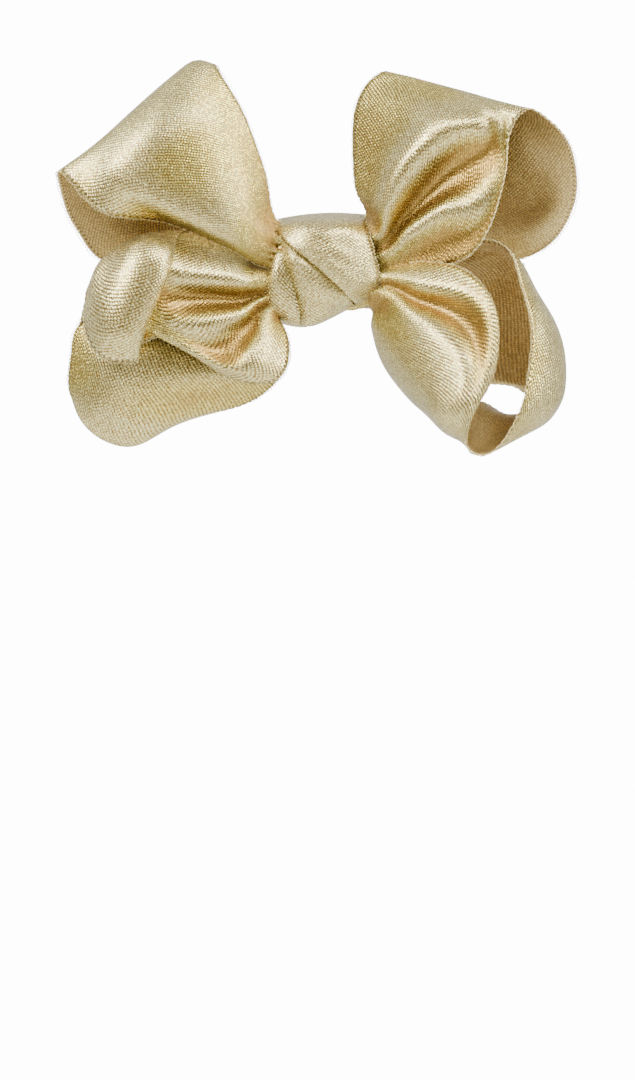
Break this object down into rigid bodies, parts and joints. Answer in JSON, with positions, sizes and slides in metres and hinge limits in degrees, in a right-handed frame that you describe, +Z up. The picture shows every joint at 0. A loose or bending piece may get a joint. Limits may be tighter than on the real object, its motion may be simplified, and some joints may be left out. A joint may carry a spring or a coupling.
{
  "type": "pre-made gift bow",
  "caption": "Ribbon gift bow with looped ribbon gathered under a tied knot and a flat bendable twist tie behind it.",
  "frame": {"origin": "middle of the flat back face of the knot", "axes": "+X to the bow's right as seen from the front, +Y out of the back towards the gift, +Z up"},
  "size_m": [0.1039, 0.0328, 0.0806],
  "materials": {
    "ribbon": "gold metallic woven ribbon, satin",
    "knot_ribbon": "gold metallic woven ribbon, satin",
    "thread": "matte twisted thread",
    "glue": "milky hot-melt glue",
    "tie_film": "gold plastic film",
    "tie_wire": "bright steel wire"
  },
  "bodies": {
    "bow": {"top_left_loop": "ribbon", "bottom_left_loop": "ribbon", "top_right_loop": "ribbon", "bottom_right_loop": "ribbon", "knot_ribbon": "knot_ribbon", "gathering_thread": "thread", "glue_dab": "glue", "tie_bridge": "tie_film", "tie_bridge_wire": "tie_wire"},
    "left_leg": {"left_tie_leg": "tie_film", "left_tie_wire": "tie_wire"},
    "right_leg": {"right_tie_leg": "tie_film", "right_tie_wire": "tie_wire"}
  },
  "joints": [
    {"name": "left_leg_bend", "type": "hinge", "parent": "bow", "child": "left_leg", "pos_m": [-0.0126, -0.0012, 0], "axis": [0, 0, -1], "range_deg": [0, 100]},
    {"name": "right_leg_bend", "type": "hinge", "parent": "bow", "child": "right_leg", "pos_m": [0.0126, -0.0012, 0], "axis": [0, 0, 1], "range_deg": [0, 100]}
  ]
}
